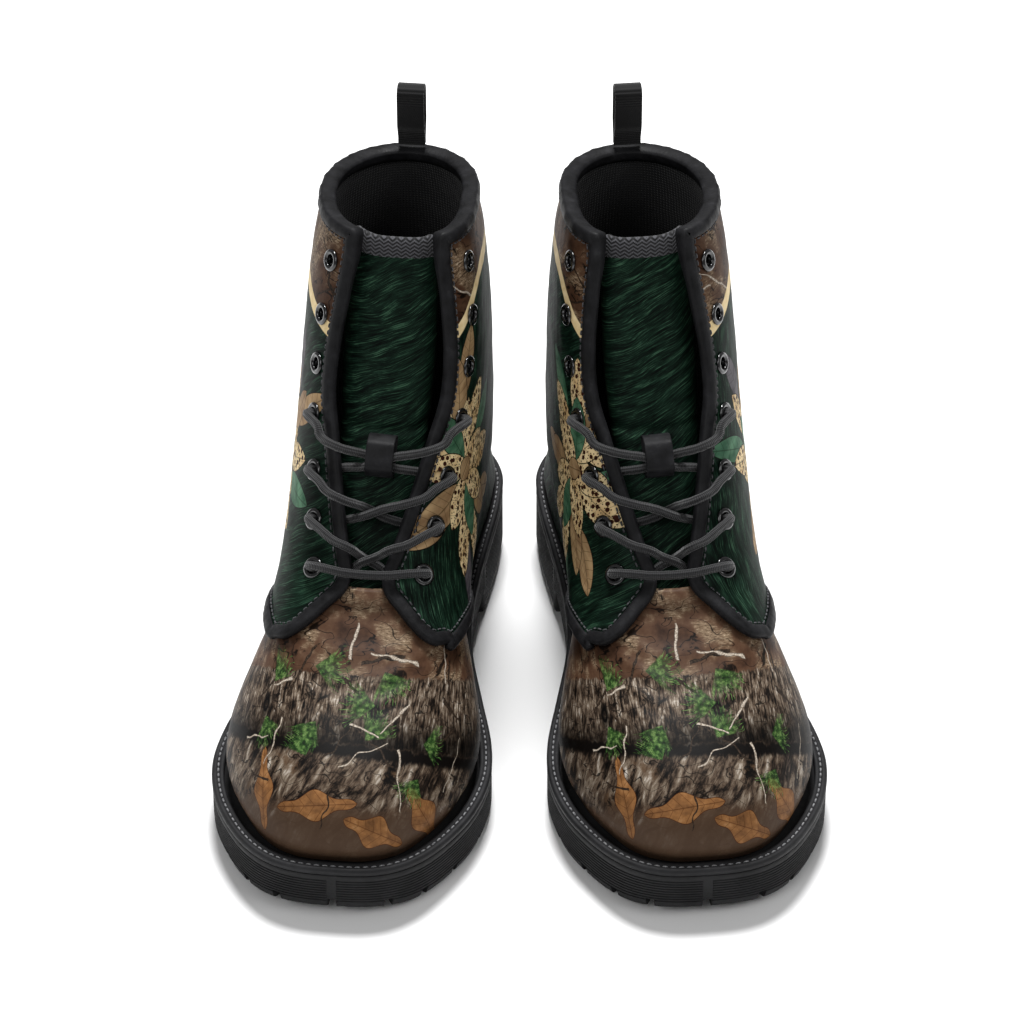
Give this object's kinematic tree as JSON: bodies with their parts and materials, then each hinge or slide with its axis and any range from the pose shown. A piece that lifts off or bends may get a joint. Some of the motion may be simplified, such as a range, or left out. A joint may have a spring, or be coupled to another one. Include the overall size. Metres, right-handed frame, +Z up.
{
  "type": "insulated hunting boots",
  "caption": "Pair of insulated lace-up ankle boots with lugged rubber soles, printed leather uppers, folding padded tongues and back pull loops.",
  "frame": {"origin": "middle of the pair's footprint on the floor", "axes": "+X from the wearer's right boot to the left one, +Y from toe to heel, +Z up"},
  "size_m": [0.2536, 0.291, 0.2356],
  "materials": {
    "sole_rubber": "matte charcoal rubber with fine ribs",
    "camouflage_leather": "satin coated leather with a printed woodland pattern",
    "printed_leather": "satin dark green streaked leather with a printed woodland cuff and a leaf motif",
    "tongue_leather": "satin dark green streaked leather",
    "binding_leather": "smooth dark charcoal leather, satin",
    "webbing": "ribbed black webbing",
    "mesh_lining": "black knitted mesh",
    "lace_cord": "black braided round cord",
    "eyelet_metal": "gloss black enamel",
    "board": "tan fibreboard",
    "foam": "black insulating footbed with a cloth face"
  },
  "bodies": {
    "boots": {"right_outsole": "sole_rubber", "right_welt": "sole_rubber", "right_insole_board": "board", "right_footbed": "foam", "right_vamp": "camouflage_leather", "right_quarter_inner": "printed_leather", "right_quarter_outer": "printed_leather", "right_heel_counter": "board", "right_lining": "mesh_lining", "right_tongue_base": "tongue_leather", "right_lace_keeper": "binding_leather", "right_collar_binding": "binding_leather", "right_lace": "lace_cord", "right_eyelet_inner_1": "eyelet_metal", "right_eyelet_inner_2": "eyelet_metal", "right_eyelet_inner_3": "eyelet_metal", "right_eyelet_inner_4": "eyelet_metal", "right_eyelet_inner_5": "eyelet_metal", "right_eyelet_inner_6": "eyelet_metal", "right_eyelet_inner_7": "eyelet_metal", "right_eyelet_outer_1": "eyelet_metal", "right_eyelet_outer_2": "eyelet_metal", "right_eyelet_outer_3": "eyelet_metal", "right_eyelet_outer_4": "eyelet_metal", "right_eyelet_outer_5": "eyelet_metal", "right_eyelet_outer_6": "eyelet_metal", "right_eyelet_outer_7": "eyelet_metal", "left_outsole": "sole_rubber", "left_welt": "sole_rubber", "left_insole_board": "board", "left_footbed": "foam", "left_vamp": "camouflage_leather", "left_quarter_inner": "printed_leather", "left_quarter_outer": "printed_leather", "left_heel_counter": "board", "left_lining": "mesh_lining", "left_tongue_base": "tongue_leather", "left_lace_keeper": "binding_leather", "left_collar_binding": "binding_leather", "left_lace": "lace_cord", "left_eyelet_inner_1": "eyelet_metal", "left_eyelet_inner_2": "eyelet_metal", "left_eyelet_inner_3": "eyelet_metal", "left_eyelet_inner_4": "eyelet_metal", "left_eyelet_inner_5": "eyelet_metal", "left_eyelet_inner_6": "eyelet_metal", "left_eyelet_inner_7": "eyelet_metal", "left_eyelet_outer_1": "eyelet_metal", "left_eyelet_outer_2": "eyelet_metal", "left_eyelet_outer_3": "eyelet_metal", "left_eyelet_outer_4": "eyelet_metal", "left_eyelet_outer_5": "eyelet_metal", "left_eyelet_outer_6": "eyelet_metal", "left_eyelet_outer_7": "eyelet_metal"},
    "right_tongue_flap": {"right_tongue_top": "tongue_leather", "right_tongue_rim": "webbing"},
    "right_loop": {"right_pull_loop": "webbing"},
    "left_tongue_flap": {"left_tongue_top": "tongue_leather", "left_tongue_rim": "webbing"},
    "left_loop": {"left_pull_loop": "webbing"}
  },
  "joints": [
    {"name": "right_tongue_fold", "type": "hinge", "parent": "boots", "child": "right_tongue_flap", "pos_m": [-0.052, 0.019, 0.148], "axis": [-0.9945, 0.1045, 0], "range_deg": [0, 20], "stiffness_Nm_per_rad": 0.15},
    {"name": "right_pull_loop_flex", "type": "hinge", "parent": "boots", "child": "right_loop", "pos_m": [-0.0453, 0.1128, 0.2061], "axis": [-0.9945, 0.1045, 0], "range_deg": [-40, 40], "stiffness_Nm_per_rad": 0.02},
    {"name": "left_tongue_fold", "type": "hinge", "parent": "boots", "child": "left_tongue_flap", "pos_m": [0.052, 0.019, 0.148], "axis": [-0.9945, -0.1045, 0], "range_deg": [0, 20], "stiffness_Nm_per_rad": 0.15},
    {"name": "left_pull_loop_flex", "type": "hinge", "parent": "boots", "child": "left_loop", "pos_m": [0.0453, 0.1128, 0.2061], "axis": [-0.9945, -0.1045, 0], "range_deg": [-40, 40], "stiffness_Nm_per_rad": 0.02}
  ]
}
